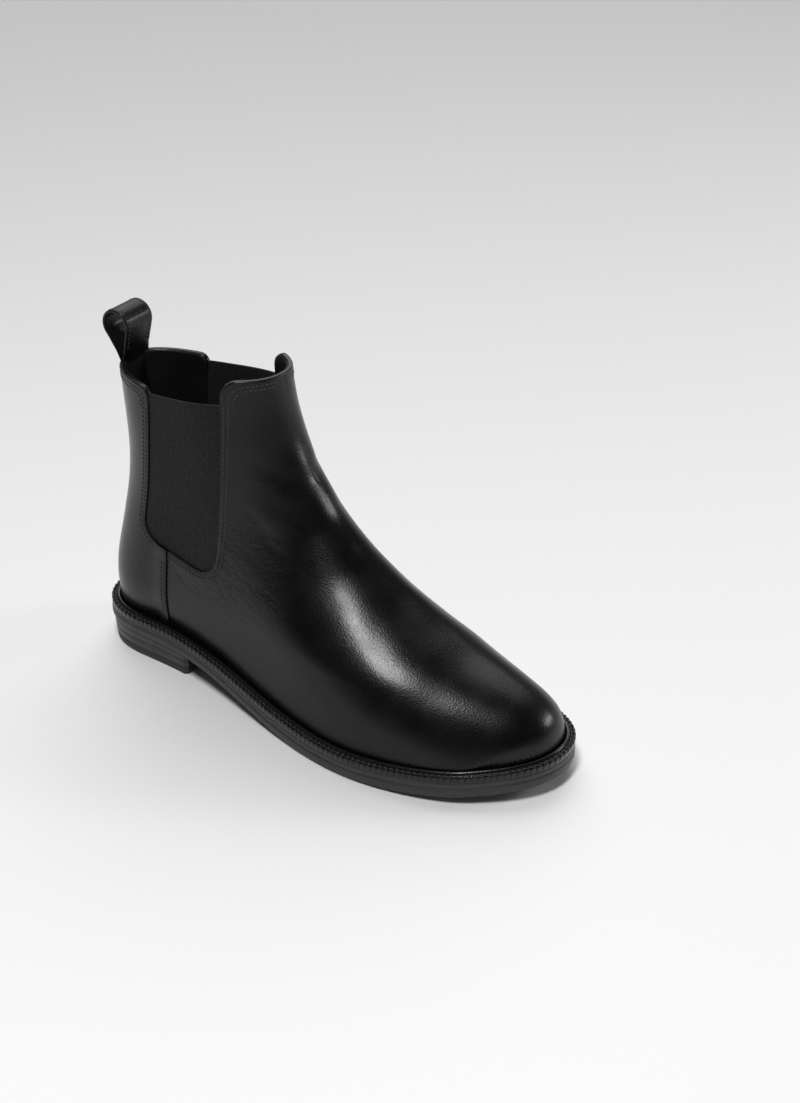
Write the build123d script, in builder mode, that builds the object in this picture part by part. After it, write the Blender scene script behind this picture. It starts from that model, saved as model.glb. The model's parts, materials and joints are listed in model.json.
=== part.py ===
from build123d import *
from math import cos, sin, pi, hypot, radians
import os

os.makedirs("parts", exist_ok=True)

# A welted chelsea boot for the right foot.  X runs from heel to toe, +Y is the medial
# side, Z is up.  The origin is the centre of the footprint, on the floor.

# ---- driving dimensions (mm) ----
length = 305.0               # over the outer edge of the welt
heel_axis_y = 9.0            # the heel's centreline, medial of the footprint's centre
back_x = -length / 2         # rearmost point of the welt
welt_margin = 6.0            # from the welt's outer edge in to the upper
heel_breast = 74.0           # length of the heel block
heel_inset = 0.8             # heel block, inside the welt's edge
heel_taper = 1.6             # how far the heel draws in towards the floor
top_piece_height = 5.0
lift_height = 5.2
leather = 1.6                # upper leather
stiffener = 0.7              # toe puff and heel counter
layer_gap = 0.05             # between the upper's layers
sole_gap = 0.35              # from the welt's top to the upper's lower edge
lining = 0.85
elastic_thickness = 1.35
tail_thickness = 1.75        # the loop's sewn tail, inside the lining
insole_thickness = 2.6
sock_thickness = 1.2
insole_clearance = 2.2
bead_height = 2.4            # storm bead above the welt's top
bead_inner = 5.2
bead_outer = 3.1
ring_inner = 9.0             # inner edge of the welt, from its outer edge
rib_inner = 11.0             # inner edge of the insole's rib
rear_top = 175.0             # topline of the quarters
elastic_front_top = 178.0
front_top = 193.0            # topline of the vamp's front panel
binding_width = 4.0
binding_proud = 0.6
strap_width = 22.0
strap_thickness = 2.0
loop_height = 27.5
loop_half = 9.5
root_radius = 1.8
root_clearance = 3.4         # hinge axis above the rear topline
loop_lean = 14.0             # degrees, leaning to the rear
nail_radius = 0.8
nail_count = 9
nail_sunk = 0.4              # nail heads, above the floor
nail_short = 0.8             # from the nails' tips to the upper lift
nail_arc = 260.0             # degrees of the heel's edge that the nails follow
nail_ring_s = 36.0           # centre of the nails' ring, from the heel's back
nail_ring_length = 27.0
nail_ring_width = 25.0
shank_rise = 0.6             # shank above the midsole, and its thickness
shank_thickness = 1.3
widest = 90.0                # more than half the boot's width, for trimming shapes
tallest = 60.0               # higher than the sole and the heel, for trimming shapes
longest = 400.0              # longer than the boot, for trimming shapes


# ---- curves that give the boot its shape, as (distance from the heel's back, value) ----
sole_bottom = [(-20, 16.2), (0, 16), (60, 14.8), (85, 12.8), (110, 8.8), (145, 2.9), (172, 0.35),
               (190, 0), (210, 0.4), (250, 3), (285, 6.9), (305, 9.6), (325, 12.6)]
outsole_thickness = [(-20, 4.6), (90, 4.6), (160, 5.6), (325, 5.6)]
midsole_thickness = [(-20, 2.0), (90, 2.0), (160, 3.6), (325, 3.6)]
welt_thickness = [(-20, 3.0), (325, 3.0)]

ridge = [(299.2, 8), (299.2, 22), (298, 30.5), (293.5, 38), (283.5, 45), (266, 51.5), (244, 59),
         (220, 69.5), (196, 82), (173, 97.5), (154, 115), (140, 134), (130, 153), (124, 172),
         (120.5, 190), (117.5, 212)]
ridge_radius = [(0, 66), (14, 64), (36, 46), (60, 43), (95, 46), (130, 54), (190, 58), (235, 54),
                (330, 50)]
back = [(6, 8), (5.6, 26), (4.2, 40), (5.6, 58), (10, 80), (14.5, 104), (16, 124), (14.5, 146),
        (11.5, 172), (7, 212)]
back_radius = [(8, 32), (60, 34), (110, 42), (208, 50)]

width_low_lateral = [(0, 30), (35, 28.5), (68, 30), (100, 35.5), (130, 43.5), (160, 51.5),
                     (190, 57.5), (215, 58), (240, 53.5), (265, 48), (300, 38)]
width_mid_lateral = [(0, 31), (35, 31.5), (68, 33.5), (100, 37), (130, 42.5), (160, 50),
                     (190, 56), (215, 57.5), (240, 53.5), (265, 48), (300, 38)]
width_low_medial = [(0, 30), (35, 28.5), (68, 27.5), (100, 21.5), (130, 20.5), (160, 27),
                    (190, 36), (215, 40), (240, 40), (265, 38), (300, 38)]
width_mid_medial = [(0, 31), (35, 31.5), (68, 32.5), (100, 32.5), (130, 32), (160, 33),
                    (190, 38), (215, 40.5), (240, 40), (265, 38), (300, 38)]
width_shaft_lateral = [(0, 27), (40, 29.5), (80, 33), (120, 33.5), (160, 33), (300, 33)]
width_shaft_medial = [(0, 25), (40, 25.5), (80, 26.5), (120, 28), (160, 33), (300, 33)]
mid_height = 52.0
shaft_height = 112.0

stiffener_outer = leather + layer_gap
stiffener_inner = stiffener_outer + stiffener
lining_outer = stiffener_inner + layer_gap
lining_inner = lining_outer + lining
tail_outer = lining_inner + layer_gap
tail_inner = tail_outer + tail_thickness

outline_sides = 12           # spans along each side of the sole's outline
sole_stations = [-20, 22, 64, 100, 136, 172, 208, 250, 290, 330]

elastic_rear = [(76, 43.5), (88, 41.8), (103, 43.5), (126, 46.5), (150, 48.5), (176, 49)]
elastic_front = [(74, 94), (84, 97), (105, 98.8), (135, 99.5), (155, 99.2), (180, 98.5)]
elastic_foot = [(40, 82), (51, 80), (70, 76), (86, 73.5), (98, 73)]
elastic_band_height = 174.0  # the elastic's front edge, one grid row below its top
seam_s = 60.0                # quarter seam, from below the elastic down to the welt
corner_reach = 9.0           # easing of the front panel's top corner
corner_drop = 4.0
puff_rows = 4                # grid rows and columns that the toe puff covers
puff_columns = 4
counter_rows = 6             # grid rows that the heel counter covers
tail_rows = 3                # grid rows that the loop's sewn tail covers
lower_rows = [0, 0.05, 0.15, 0.28, 0.41, 0.54, 0.66, 0.77, 0.88, 1]
shaft_rows = [0.15, 0.32, 0.5, 0.75]
rear_spans = 3               # grid spans from the back seam to the elastic
seam_spans = 1               # from the elastic's rear edge to the quarter seam
gusset_spans = 2             # from the quarter seam to the elastic's front edge
front_spans = 9              # from there to the boot's front centreline
spans = rear_spans + seam_spans + gusset_spans + front_spans
ring = 2 * spans             # spans all round the boot
rear_column = rear_spans
seam_column = rear_spans + seam_spans
front_column = seam_column + gusset_spans
foot_row = len(lower_rows) - 1
band_row = foot_row + len(shaft_rows) + 1
top_row = band_row + 1


# ---- small helpers ----
def monotone(points, at):
    """Value of the smooth curve through the points, with no overshoot between them."""
    if at <= points[0][0]:
        return points[0][1]
    if at >= points[-1][0]:
        return points[-1][1]
    slopes = [(b[1] - a[1]) / (b[0] - a[0]) for a, b in zip(points, points[1:])]
    tangents = [slopes[0]]
    for before, after in zip(slopes, slopes[1:]):
        same_way = before * after > 0
        tangents.append(2 * before * after / (before + after) if same_way else 0.0)
    tangents.append(slopes[-1])
    span = next(i for i in range(len(slopes)) if at <= points[i + 1][0])
    (x0, y0), (x1, y1) = points[span], points[span + 1]
    step = x1 - x0
    t = (at - x0) / step
    rise = (3 - 2 * t) * t * t
    lead = t * (1 - t) * (1 - t) * step * tangents[span]
    trail = t * t * (1 - t) * step * tangents[span + 1]
    return y0 + (y1 - y0) * rise + lead - trail


def curve_points(points, count):
    """Points along the smooth curve through a side-view polyline, by chord length."""
    lengths = [0.0]
    for a, b in zip(points, points[1:]):
        lengths.append(lengths[-1] + hypot(b[0] - a[0], b[1] - a[1]))
    along = [(d, p[0]) for d, p in zip(lengths, points)]
    height = [(d, p[1]) for d, p in zip(lengths, points)]
    steps = [lengths[-1] * i / count for i in range(count + 1)]
    return [(monotone(along, d), monotone(height, d), d) for d in steps]


ridge_line = curve_points(ridge, 160)
back_line = curve_points(back, 80)


def nearest(line, s, z):
    """Distance from a side-view point to a line, and how far along it that is."""
    best = (1e9, 0.0)
    for (s0, z0, d0), (s1, z1, d1) in zip(line, line[1:]):
        run = (s1 - s0) ** 2 + (z1 - z0) ** 2
        t = ((s - s0) * (s1 - s0) + (z - z0) * (z1 - z0)) / run
        t = min(1.0, max(0.0, t))
        gap = hypot(s - s0 - t * (s1 - s0), z - z0 - t * (z1 - z0))
        best = min(best, (gap, d0 + t * (d1 - d0)))
    return best


def roundness(gap, radius, power=2.2):
    """How full a section is at a distance in from its edge."""
    t = min(1.0, max(0.0, gap / radius))
    return (1 - (1 - t) ** power) ** (1 / power)


def feather(s):
    """Height of the welt's top, where the upper starts."""
    return sum(monotone(layer, s) for layer in (sole_bottom, outsole_thickness, midsole_thickness,
                                                welt_thickness))


def blend(low, mid, high, s, z):
    """Width at a height, from the widths at the feather line, the ankle and the shaft."""
    start = feather(s) + bead_height + 0.6
    if z < mid_height:
        t = max(0.0, (z - start) / (mid_height - start))
        return low + (mid - low) * sin(t * pi / 2)
    t = min(1.0, (z - mid_height) / (shaft_height - mid_height))
    return mid + (high - mid) * (3 - 2 * t) * t * t


lateral_widths = (width_low_lateral, width_mid_lateral, width_shaft_lateral)
medial_widths = (width_low_medial, width_mid_medial, width_shaft_medial)


def half_width(s, z, widths):
    """Half width of the upper at a side-view point."""
    ridge_gap, ridge_at = nearest(ridge_line, s, z)
    back_gap, _ = nearest(back_line, s, z)
    base = blend(*[monotone(width, s) for width in widths], s, z)
    fullness = roundness(ridge_gap, monotone(ridge_radius, ridge_at))
    return base * fullness * roundness(back_gap, monotone(back_radius, z))


def feather_outline():
    """Points round the upper where it meets the welt."""
    rear, front = back[1][0], ridge[1][0]
    middle, reach = (rear + front) / 2, (front - rear) / 2
    points = []
    for i in range(2 * outline_sides):
        turn = pi * i / outline_sides
        s = middle - reach * cos(turn)
        z = feather(s) + 1
        if i in (0, outline_sides):
            y = 0.0
        elif i < outline_sides:
            y = -half_width(s, z, lateral_widths)
        else:
            y = half_width(s, z, medial_widths)
        points.append((back_x + s, heel_axis_y + y))
    return points


def drawn_in(ring, inset):
    """Points of a closed outline, each moved inwards, or outwards by a negative inset."""
    points = []
    for i, (x, y) in enumerate(ring):
        x0, y0 = ring[i - 1]
        x1, y1 = ring[(i + 1) % len(ring)]
        size = hypot(x1 - x0, y1 - y0)
        points.append((x - inset * (y1 - y0) / size, y + inset * (x1 - x0) / size))
    return points


feather_ring = feather_outline()


def closed_curve(points):
    """Smooth closed curve with evenly spaced knots."""
    knots = [float(i) for i in range(len(points) + 1)]
    return Edge.make_spline([Vector(*p) for p in points], periodic=True, parameters=knots)


def column(inset, low=-1.0, high=tallest):
    """The sole's outline, drawn in by an inset and raised from one height to another."""
    with BuildPart() as body:
        with BuildSketch(Plane.XY.offset(low)):
            with BuildLine():
                add(closed_curve(drawn_in(feather_ring, inset - welt_margin)))
            make_face()
        extrude(amount=high - low)
    return body.part


def level(*layers):
    """Side-view points of the sole's bottom raised by the layers' thicknesses."""
    points = []
    for s in sole_stations:
        rise = sum(monotone(layer, s) for layer in layers)
        points.append((back_x + s, monotone(sole_bottom, s) + rise))
    return points


def raised(points, amount):
    return [(x, z + amount) for x, z in points]


def slab(lower, upper):
    """Solid between two side-view curves, right across the boot."""
    with BuildPart() as body:
        with BuildSketch(Plane.XZ):
            with BuildLine():
                Spline(*lower)
                Line(lower[-1], upper[-1])
                Spline(*upper)
                Line(lower[0], upper[0])
            make_face()
        extrude(amount=widest, both=True)
    return body.part


def row_height(row, s, zone):
    """Height of a grid row at a distance from the heel's back."""
    low = feather(s) + sole_gap
    foot = monotone(elastic_foot, s)
    if row <= foot_row:
        return low + (foot - low) * lower_rows[row]
    if zone == "gusset":
        rear_s, front_s = elastic_rear[-1][1], elastic_front[-1][1]
        rear_z = row_height(row, rear_s, "rear")
        front_z = {band_row: elastic_band_height, top_row: elastic_front_top}.get(row)
        if front_z is None:
            front_z = row_height(row, front_s, "front")
        return rear_z + (front_z - rear_z) * (s - rear_s) / (front_s - rear_s)
    top = rear_top
    if zone == "front":
        ease = max(0.0, 1 - (s - elastic_front[-1][1]) / corner_reach)
        top = front_top - corner_drop * ease * ease
    if row == top_row:
        return top
    share = 1.0 if row == band_row else shaft_rows[row - foot_row - 1]
    return foot + (top - binding_width - foot) * share


def row_end(row, zone, line):
    """Where a grid row meets the ridge or the back."""
    found = line[0][0]
    for s, z, _ in line:
        if z <= row_height(row, s, zone):
            found = s
    return found


def grid_place(row, column, zone):
    """Side-view place of a grid point on one side of the boot."""
    level = monotone(elastic_foot, 70) if row <= foot_row else row_height(row, 75, zone)
    if column <= rear_column:
        rear_edge = monotone(elastic_rear, level)
        start = row_end(row, "rear", back_line)
        s = start + (rear_edge - start) * (1 - cos(pi / 2 * column / rear_column))
        return s, row_height(row, s, "rear")
    front_edge = monotone(elastic_front, level)
    if column <= front_column:
        s = seam_s + (front_edge - seam_s) * (column - seam_column) / gusset_spans
    else:
        end = row_end(row, zone, ridge_line)
        s = front_edge + (end - front_edge) * sin(pi / 2 * (column - front_column) / front_spans)
    return s, row_height(row, s, zone)


def outward(s, z, side, widths, end_line):
    """Outward direction of the upper's face at a side-view point."""
    if end_line:
        _, at = nearest(end_line, s, z)
        before = min(end_line, key=lambda p: abs(p[2] - at + 4))
        after = min(end_line, key=lambda p: abs(p[2] - at - 4))
        facing = Vector(after[1] - before[1], 0, before[0] - after[0]).normalized()
        return facing if end_line is ridge_line else -facing
    step = 0.2
    lean_s = half_width(s + step, z, widths) - half_width(s - step, z, widths)
    lean_z = half_width(s, z + step, widths) - half_width(s, z - step, widths)
    return Vector(-lean_s, side * 2 * step, -lean_z).normalized()


def grid_point(row, around, zone, depth):
    """Point of a layer of the upper, numbered round from the back seam by the lateral side."""
    lateral = around <= spans
    column = around if lateral else ring - around
    if zone == "gusset" and column == rear_column:
        return grid_point(row, around, "rear", depth)
    if zone == "gusset" and column == front_column:
        if row < band_row:
            return grid_point(row, around, "front", depth)
        lower = grid_point(band_row - 1, around, "front", depth)
        upper = grid_point(band_row, around, "front", depth)
        height = elastic_front_top if row == top_row else elastic_band_height
        return lower + (upper - lower) * ((height - lower.Z) / (upper.Z - lower.Z))
    widths = lateral_widths if lateral else medial_widths
    side = -1 if lateral else 1
    s, z = grid_place(row, column, zone)
    end_line = {0: back_line, spans: ridge_line}.get(column)
    y = 0.0 if end_line else side * half_width(s, z, widths)
    inward = outward(s, z, side, widths, end_line) * -depth
    if row == 0 or row >= band_row:
        inward = Vector(inward.X, inward.Y, 0)
    return Vector(back_x + s, heel_axis_y + y, z) + inward


def skin(sheet_cells, zone, outer_depth, inner_depth):
    """Solid sheet over the grid's cells, between two depths."""
    known = {}

    def corner(row, around, depth):
        key = (row, around, depth)
        if key not in known:
            known[key] = grid_point(row, around, zone, depth)
        return known[key]

    edges = set()
    faces = []
    for row, around in sheet_cells:
        beside = (around + 1) % ring
        loop = [(row, around), (row, beside), (row + 1, beside), (row + 1, around)]
        a, b, c, d = [corner(r, i, outer_depth) for r, i in loop]
        faces += [(a, b, c), (a, c, d)]
        a, b, c, d = [corner(r, i, inner_depth) for r, i in loop]
        faces += [(a, c, b), (a, d, c)]
        for start, end in zip(loop, loop[1:] + loop[:1]):
            if (end, start) in edges:
                edges.remove((end, start))
            else:
                edges.add((start, end))
    for start, end in sorted(edges):
        a, b = corner(*start, outer_depth), corner(*end, outer_depth)
        c, d = corner(*end, inner_depth), corner(*start, inner_depth)
        faces += [(a, d, c), (a, c, b)]
    return Solid(Shell([Face(Wire.make_polygon(points, close=True)) for points in faces]))


def cells(rows, columns, sides=(-1, 1)):
    """Grid cells over ranges of rows and of columns, on the lateral (-1) or medial side."""
    found = []
    for row in range(*rows):
        for column in range(*columns):
            if -1 in sides:
                found.append((row, column))
            if 1 in sides:
                found.append((row, ring - 1 - column))
    return found


# ---- the sole's levels ----
outsole_bottom = level()
outsole_top = level(outsole_thickness)
midsole_top = level(outsole_thickness, midsole_thickness)
welt_top = level(outsole_thickness, midsole_thickness, welt_thickness)
insole_top = raised(welt_top, insole_thickness)
sock_top = raised(insole_top, sock_thickness)
bead_top = raised(welt_top, bead_height)
ceiling = raised(welt_top, tallest)


def write(builder, name):
    builder.part.label = name
    export_step(builder.part, f"parts/{name}.step")


# ---- sole ----
with BuildPart() as outsole:
    add(slab(outsole_bottom, outsole_top))
    add(column(0), mode=Mode.INTERSECT)
write(outsole, "outsole")

with BuildPart() as midsole:
    add(slab(outsole_top, midsole_top))
    add(column(0.5), mode=Mode.INTERSECT)
write(midsole, "midsole")

with BuildPart() as welt:
    add(slab(midsole_top, bead_top))
    add(column(0), mode=Mode.INTERSECT)
    add(slab(welt_top, ceiling) & (column(-5) - column(bead_outer)), mode=Mode.SUBTRACT)
    add(slab(welt_top, ceiling) & column(bead_inner), mode=Mode.SUBTRACT)
    add(column(ring_inner), mode=Mode.SUBTRACT)
write(welt, "welt")

with BuildPart() as insole_rib:
    add(slab(midsole_top, welt_top))
    add(column(ring_inner), mode=Mode.INTERSECT)
    add(column(rib_inner), mode=Mode.SUBTRACT)
write(insole_rib, "insole_rib")

shank_plan = [(48, -7), (150, -9), (150, 5), (48, 7)]
shank_bottom = raised(midsole_top, shank_rise)
shank_top = raised(shank_bottom, shank_thickness)
with BuildPart() as shank:
    with BuildSketch(Plane.XY):
        with BuildLine():
            Polyline(*[(back_x + s, heel_axis_y + y) for s, y in shank_plan], close=True)
        make_face()
        fillet(vertices(), radius=5)
    extrude(amount=tallest)
    add(slab(shank_bottom, shank_top), mode=Mode.INTERSECT)
write(shank, "shank")

with BuildPart() as cork_filler:
    add(slab(midsole_top, welt_top))
    add(column(rib_inner), mode=Mode.INTERSECT)
    add(shank.part, mode=Mode.SUBTRACT)
write(cork_filler, "cork_filler")

inside = welt_margin + lining_inner + insole_clearance
with BuildPart() as insole:
    add(slab(welt_top, insole_top))
    add(column(inside), mode=Mode.INTERSECT)
write(insole, "insole")

with BuildPart() as sock_liner:
    add(slab(insole_top, sock_top))
    add(column(inside), mode=Mode.INTERSECT)
write(sock_liner, "sock_liner")

# ---- heel ----
def heel_block(low, high):
    """A lift of the heel between two heights, drawn in a little towards the floor."""
    share = 1 - (low + high) / 2 / sole_bottom[1][1]
    inset = heel_inset + heel_taper * share
    breast = back_x + heel_breast - heel_taper * share
    with BuildPart() as block:
        add(column(inset, low, high))
        with Locations((breast + longest / 2, 0, 0)):
            Box(longest, 2 * widest, 2 * tallest, mode=Mode.SUBTRACT)
    return block.part


nail_spots = []
for i in range(nail_count):
    turn = radians(180 - nail_arc / 2 + nail_arc * i / (nail_count - 1))
    nail_x = back_x + nail_ring_s + nail_ring_length * cos(turn)
    nail_spots.append((nail_x, heel_axis_y + nail_ring_width * sin(turn)))

nail_length = top_piece_height + lift_height - nail_sunk - nail_short
with BuildPart() as heel_nails:
    with BuildSketch(Plane.XY.offset(nail_sunk)):
        with Locations(*nail_spots):
            Circle(nail_radius)
    extrude(amount=nail_length)
write(heel_nails, "heel_nails")

with BuildPart() as nail_holes:
    with BuildSketch(Plane.XY.offset(-1)):
        with Locations(*nail_spots):
            Circle(nail_radius)
    extrude(amount=nail_length + 1 + nail_sunk)

with BuildPart() as heel_top_piece:
    add(heel_block(0, top_piece_height))
    add(nail_holes.part, mode=Mode.SUBTRACT)
write(heel_top_piece, "heel_top_piece")

with BuildPart() as heel_lift_lower:
    add(heel_block(top_piece_height, top_piece_height + lift_height))
    add(nail_holes.part, mode=Mode.SUBTRACT)
write(heel_lift_lower, "heel_lift_lower")

with BuildPart() as heel_lift_upper:
    add(heel_block(top_piece_height + lift_height, tallest / 2))
    add(slab(outsole_bottom, ceiling), mode=Mode.SUBTRACT)
write(heel_lift_upper, "heel_lift_upper")

# ---- upper ----
def write_skin(name, sheet_cells, zone, outer_depth, inner_depth):
    """Write a piece of the upper as a sheet between two depths."""
    with BuildPart() as sheet:
        add(skin(sheet_cells, zone, outer_depth, inner_depth))
    write(sheet, name)


lower_front = cells((0, foot_row), (seam_column, spans))
lower_rear = cells((0, foot_row), (0, seam_column))

vamp_cells = lower_front + cells((foot_row, band_row), (front_column, spans))
write_skin("vamp", vamp_cells, "front", 0, leather)
front_cells = lower_front + cells((foot_row, top_row), (front_column, spans))
write_skin("vamp_lining", front_cells, "front", lining_outer, lining_inner)
front_band = cells((band_row, top_row), (front_column, spans))
write_skin("front_topline_binding", front_band, "front", -binding_proud, leather)

rear_cells = lower_rear + cells((foot_row, top_row), (0, rear_column))
write_skin("quarter_lining", rear_cells, "rear", lining_outer, lining_inner)
rear_band = cells((band_row, top_row), (0, rear_column))
write_skin("rear_topline_binding", rear_band, "rear", -binding_proud, leather)

for name, side in (("lateral", -1), ("medial", 1)):
    quarter_cells = cells((0, foot_row), (0, seam_column), (side,))
    quarter_cells += cells((foot_row, band_row), (0, rear_column), (side,))
    write_skin(f"quarter_{name}", quarter_cells, "rear", 0, leather)
    gusset_cells = cells((foot_row, top_row), (rear_column, front_column), (side,))
    gusset_inner = stiffener_outer + elastic_thickness
    write_skin(f"elastic_gusset_{name}", gusset_cells, "gusset", stiffener_outer, gusset_inner)

puff_cells = cells((0, puff_rows), (spans - puff_columns, spans))
write_skin("toe_puff", puff_cells, "front", stiffener_outer, stiffener_inner)
counter_cells = cells((0, counter_rows), (0, rear_column))
write_skin("heel_counter", counter_cells, "rear", stiffener_outer, stiffener_inner)

# ---- pull loop ----
tail_cells = cells((top_row - tail_rows, top_row), (0, 1))
write_skin("pull_loop_tail", tail_cells, "rear", tail_outer, tail_inner)

root_x = back_x + row_end(top_row, "rear", back_line) + (tail_outer + tail_inner) / 2
root_z = rear_top + root_clearance
with BuildPart() as pull_loop:
    with BuildSketch(Plane.XZ.offset(-heel_axis_y)):
        with Locations(Location((root_x, root_z, 0), loop_lean)):
            with Locations((0, loop_height - loop_half)):
                Circle(loop_half)
            Circle(root_radius)
        make_hull()
        with Locations(Location((root_x, root_z, 0), loop_lean)):
            with Locations((0, loop_height - loop_half)):
                Circle(loop_half - strap_thickness, mode=Mode.SUBTRACT)
    extrude(amount=strap_width / 2, both=True)
write(pull_loop, "pull_loop")

print("hinge axis of the pull loop", round(root_x, 3), heel_axis_y, round(root_z, 3))
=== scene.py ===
import json
import math

import bpy
import numpy as np
from mathutils import Matrix, Vector


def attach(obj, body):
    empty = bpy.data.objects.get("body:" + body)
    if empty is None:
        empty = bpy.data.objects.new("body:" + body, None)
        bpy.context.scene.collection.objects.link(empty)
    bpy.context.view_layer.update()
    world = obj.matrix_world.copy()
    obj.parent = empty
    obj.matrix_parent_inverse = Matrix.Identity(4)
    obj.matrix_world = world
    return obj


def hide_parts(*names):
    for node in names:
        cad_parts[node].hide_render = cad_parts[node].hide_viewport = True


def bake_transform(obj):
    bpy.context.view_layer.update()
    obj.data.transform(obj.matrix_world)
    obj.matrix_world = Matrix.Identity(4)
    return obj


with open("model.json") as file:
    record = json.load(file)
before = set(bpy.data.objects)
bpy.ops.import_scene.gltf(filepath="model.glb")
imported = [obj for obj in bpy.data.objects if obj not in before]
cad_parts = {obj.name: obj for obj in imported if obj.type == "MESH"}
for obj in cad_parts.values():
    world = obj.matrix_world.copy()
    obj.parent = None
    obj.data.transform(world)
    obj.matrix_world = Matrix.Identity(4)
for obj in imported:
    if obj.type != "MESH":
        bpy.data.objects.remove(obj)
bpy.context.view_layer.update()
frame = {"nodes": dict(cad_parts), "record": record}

MM = 0.001

# ---- the CAD model's driving dimensions, in millimetres ----
# s runs from the heel's back towards the toe, z is the height above the floor.
LENGTH = 305.0
BACK_X = -LENGTH / 2
HEEL_Y = 9.0
WELT_MARGIN = 6.0
REAR_TOP = 175.0
FRONT_TOP = 193.0
ELASTIC_REAR_TOP = 171.5
ELASTIC_FRONT_TOP = 178.0
SEAM_S = 60.0
MID_HEIGHT = 52.0
SHAFT_HEIGHT = 112.0
BEAD_HEIGHT, BEAD_CLEAR = 2.4, 0.6
PUFF_START = 251.0
COUNTER_END, COUNTER_TOP = 42.0, 60.0
COUNTER_CORNER = 6.0
REAR_CORNER = 6.0
FRONT_CORNER = 9.0
OPENING_CORNER = 11.0
ELASTIC_MARGIN = 3.6         # how far the elastic runs on under the leather
LINING_INSET = 0.5           # how far the lining stays back from the leather's edges
PANEL_SPLIT = 72.0           # s that divides the front panel from the quarters above the elastic's foot
LINING_SPLIT = 66.0          # s where the vamp's lining meets the quarters' lining
UNDERLAP = 5.0               # how far the vamp runs on under the quarters
HEEL_BREAST = 74.0
HEEL_TOP = 16.0
TOP_PIECE = 5.0
LIFT = 5.2
STRAP_WIDTH = 22.0

# depth of each layer's outer face below the upper's face, and its thickness
LEATHER_LAYER = (0.0, 1.5)
ELASTIC_LAYER = (1.15, 1.2)
LINING_LAYER = (2.45, 0.7)
STIFF_LAYER = (1.6, 0.6)

# side-view curves (s, z) and widths by s or z, as keys that are smoothed when they are read;
# the tables of widths hold -1 for the lateral side and 1 for the medial side
SOLE_BOTTOM = [(-20, 16.2), (0, 16), (60, 14.8), (85, 12.8), (110, 8.8), (145, 2.9), (172, 0.35),
               (190, 0), (210, 0.4), (250, 3), (285, 6.9), (305, 9.6), (325, 12.6)]
OUTSOLE = [(-20, 4.6), (90, 4.6), (160, 5.6), (325, 5.6)]
MIDSOLE = [(-20, 2.0), (90, 2.0), (160, 3.6), (325, 3.6)]
WELT = 3.0
RIDGE = [(299.2, 8), (299.2, 22), (298, 30.5), (293.5, 38), (283.5, 45), (266, 51.5), (244, 59),
         (220, 69.5), (196, 82), (173, 97.5), (154, 115), (140, 134), (130, 153), (124, 172),
         (120.5, 190), (117.5, 212)]
RIDGE_RADIUS = [(0, 66), (14, 67), (36, 63), (60, 52), (95, 47), (130, 54), (190, 58), (235, 54),
                (330, 50)]
BACK = [(6, 8), (5.6, 26), (4.2, 40), (5.6, 58), (10, 80), (14.5, 104), (16, 124), (14.5, 146),
        (11.5, 172), (7, 212)]
BACK_RADIUS = [(8, 32), (60, 34), (110, 42), (208, 50)]
LOW = {-1: [(0, 30), (35, 28.5), (68, 30), (100, 35.5), (130, 43.5), (160, 51.5), (190, 57.5),
            (215, 58), (240, 53.5), (265, 48), (300, 38)],
       1: [(0, 30), (35, 28.5), (68, 27.5), (100, 21.5), (130, 20.5), (160, 27), (190, 36),
           (215, 40), (240, 40), (265, 38), (300, 38)]}
MID = {-1: [(0, 31), (35, 31.5), (68, 33.5), (100, 37), (130, 42.5), (160, 50), (190, 56),
            (215, 57.5), (240, 53.5), (265, 48), (300, 38)],
       1: [(0, 31), (35, 31.5), (68, 32.5), (100, 32.5), (130, 32), (160, 33), (190, 38),
           (215, 40.5), (240, 40), (265, 38), (300, 38)]}
SHAFT = {-1: [(0, 27), (40, 29.5), (80, 33), (120, 33.5), (160, 33), (300, 33)],
         1: [(0, 25), (40, 25.5), (80, 26.5), (120, 28), (160, 33), (300, 33)]}
ELASTIC_REAR = [(76, 43.5), (88, 41.8), (103, 43.5), (126, 46.5), (150, 48.5), (176, 49)]
ELASTIC_FRONT = [(74, 94), (84, 97), (105, 98.8), (135, 99.5), (155, 99.2), (180, 98.5)]
ELASTIC_FOOT = [(40, 82), (51, 80), (70, 76), (86, 73.5), (98, 73)]


# ---- curves and paths ----
def distances(path):
    """Distance along a path at each of its points."""
    return np.concatenate([[0], np.cumsum(np.linalg.norm(np.diff(path, axis=0), axis=1))])


def read_path(path, along, at):
    """Points of a path at given distances along it."""
    return np.column_stack([np.interp(at, along, path[:, k]) for k in range(path.shape[1])])


def eased(points, axis=0):
    """Points of a closed ring, each moved halfway to the middle of its neighbours."""
    return 0.25 * (np.roll(points, 1, axis) + np.roll(points, -1, axis)) + 0.5 * points


def unit(vectors):
    return vectors / (np.linalg.norm(vectors, axis=-1, keepdims=True) + 1e-12)


def smoothed(points, spread, step=0.5):
    """A curve through the points, rounded off over a spread, sampled evenly."""
    keys = np.array(points, float)
    at = np.arange(keys[0, 0], keys[-1, 0] + step, step)
    values = np.interp(at, keys[:, 0], keys[:, 1])
    width = int(4 * spread / step)
    offsets = np.arange(-width, width + 1) * step
    weights = np.exp(-0.5 * (offsets / spread) ** 2)
    weights /= weights.sum()
    first, last = values[1] - values[0], values[-1] - values[-2]
    lead = values[0] + first * np.arange(-width, 0)
    trail = values[-1] + last * np.arange(1, width + 1)
    padded = np.concatenate([lead, values, trail])
    return at, np.convolve(padded, weights, mode="valid")


def curve(points, spread):
    """Function that reads a smoothed curve."""
    at, values = smoothed(points, spread)
    return lambda x: np.interp(x, at, values)


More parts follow.
